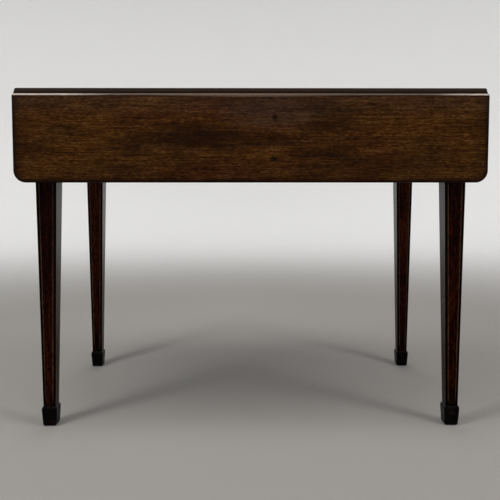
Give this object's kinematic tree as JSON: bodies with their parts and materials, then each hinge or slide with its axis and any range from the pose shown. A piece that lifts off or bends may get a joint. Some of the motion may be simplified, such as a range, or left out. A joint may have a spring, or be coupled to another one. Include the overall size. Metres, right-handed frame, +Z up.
{
  "type": "pembroke table",
  "caption": "Pembroke table with square tapered legs on spade feet, drop leaves on rule joints, swinging fly brackets, a drawer at one end and a dummy drawer front at the other",
  "frame": {"origin": "on the floor, under the middle of the table", "axes": "+X along the length, to the drawer end; +Y from the front leaf to the back leaf; +Z up"},
  "size_m": [0.975, 0.535, 0.72],
  "materials": {
    "mahogany": "polished dark mahogany, fine grain along the length",
    "frieze_mahogany": "polished dark mahogany, grain across the table's width",
    "dark_mahogany": "polished, nearly black red-brown",
    "ebonised": "ebonised, satin polish",
    "stringing": "lighter red-brown inlay, polished flush",
    "rail_wood": "unpolished secondary wood, darkened with age",
    "drawer_lining": "unpolished oak, worn smooth",
    "brass": "turned brass, dulled",
    "iron": "dark iron"
  },
  "bodies": {
    "frame": {"table_top": "mahogany", "leg_front_left": "dark_mahogany", "foot_front_left": "ebonised", "stringing_front_left": "stringing", "fly_end_front_left": "rail_wood", "leg_front_right": "dark_mahogany", "foot_front_right": "ebonised", "stringing_front_right": "stringing", "fly_end_front_right": "rail_wood", "leg_back_left": "dark_mahogany", "foot_back_left": "ebonised", "stringing_back_left": "stringing", "fly_end_back_left": "rail_wood", "leg_back_right": "dark_mahogany", "foot_back_right": "ebonised", "stringing_back_right": "stringing", "fly_end_back_right": "rail_wood", "side_rail_front": "rail_wood", "fly_block_front": "rail_wood", "runner_front": "rail_wood", "kicker_front": "rail_wood", "hinge_plates_front": "iron", "dummy_knob_front": "brass", "side_rail_back": "rail_wood", "fly_block_back": "rail_wood", "runner_back": "rail_wood", "kicker_back": "rail_wood", "hinge_plates_back": "iron", "dummy_knob_back": "brass", "cross_rail": "rail_wood", "glue_blocks": "rail_wood", "drawer_stops": "rail_wood", "end_rail": "frieze_mahogany", "drawer_rail_upper": "frieze_mahogany", "drawer_rail_lower": "frieze_mahogany", "dummy_bead": "dark_mahogany", "hinge_pins": "iron", "hinge_top_screws": "iron", "fly_pins": "iron", "top_screws": "iron"},
    "leaf_front": {"leaf_front": "mahogany", "hinge_flaps_front": "iron", "hinge_leaf_screws_front": "iron"},
    "leaf_back": {"leaf_back": "mahogany", "hinge_flaps_back": "iron", "hinge_leaf_screws_back": "iron"},
    "drawer": {"drawer_front": "frieze_mahogany", "drawer_side_front": "drawer_lining", "drawer_side_back": "drawer_lining", "drawer_back": "drawer_lining", "drawer_bottom": "drawer_lining", "drawer_bead": "dark_mahogany", "drawer_knob_front": "brass", "drawer_knob_back": "brass", "drawer_knob_nuts": "iron"},
    "fly_bracket_front_left": {"fly_bracket_front_left": "rail_wood"},
    "fly_bracket_front_right": {"fly_bracket_front_right": "rail_wood"},
    "fly_bracket_back_left": {"fly_bracket_back_left": "rail_wood"},
    "fly_bracket_back_right": {"fly_bracket_back_right": "rail_wood"}
  },
  "joints": [
    {"name": "leaf_front_hinge", "type": "hinge", "parent": "frame", "child": "leaf_front", "pos_m": [0, -0.256, 0.7085], "axis": [-1, 0, 0], "range_deg": [0, 90]},
    {"name": "leaf_back_hinge", "type": "hinge", "parent": "frame", "child": "leaf_back", "pos_m": [0, 0.256, 0.7085], "axis": [1, 0, 0], "range_deg": [0, 90]},
    {"name": "drawer_slide", "type": "slide", "parent": "frame", "child": "drawer", "axis": [1, 0, 0], "range_m": [0, 0.28]},
    {"name": "fly_bracket_front_left_swing", "type": "hinge", "parent": "frame", "child": "fly_bracket_front_left", "pos_m": [-0.15, -0.222, 0.646], "axis": [0, 0, 1], "range_deg": [0, 6]},
    {"name": "fly_bracket_front_right_swing", "type": "hinge", "parent": "frame", "child": "fly_bracket_front_right", "pos_m": [0.15, -0.222, 0.646], "axis": [0, 0, -1], "range_deg": [0, 6]},
    {"name": "fly_bracket_back_left_swing", "type": "hinge", "parent": "frame", "child": "fly_bracket_back_left", "pos_m": [-0.15, 0.222, 0.646], "axis": [0, 0, -1], "range_deg": [0, 6]},
    {"name": "fly_bracket_back_right_swing", "type": "hinge", "parent": "frame", "child": "fly_bracket_back_right", "pos_m": [0.15, 0.222, 0.646], "axis": [0, 0, 1], "range_deg": [0, 6]}
  ]
}
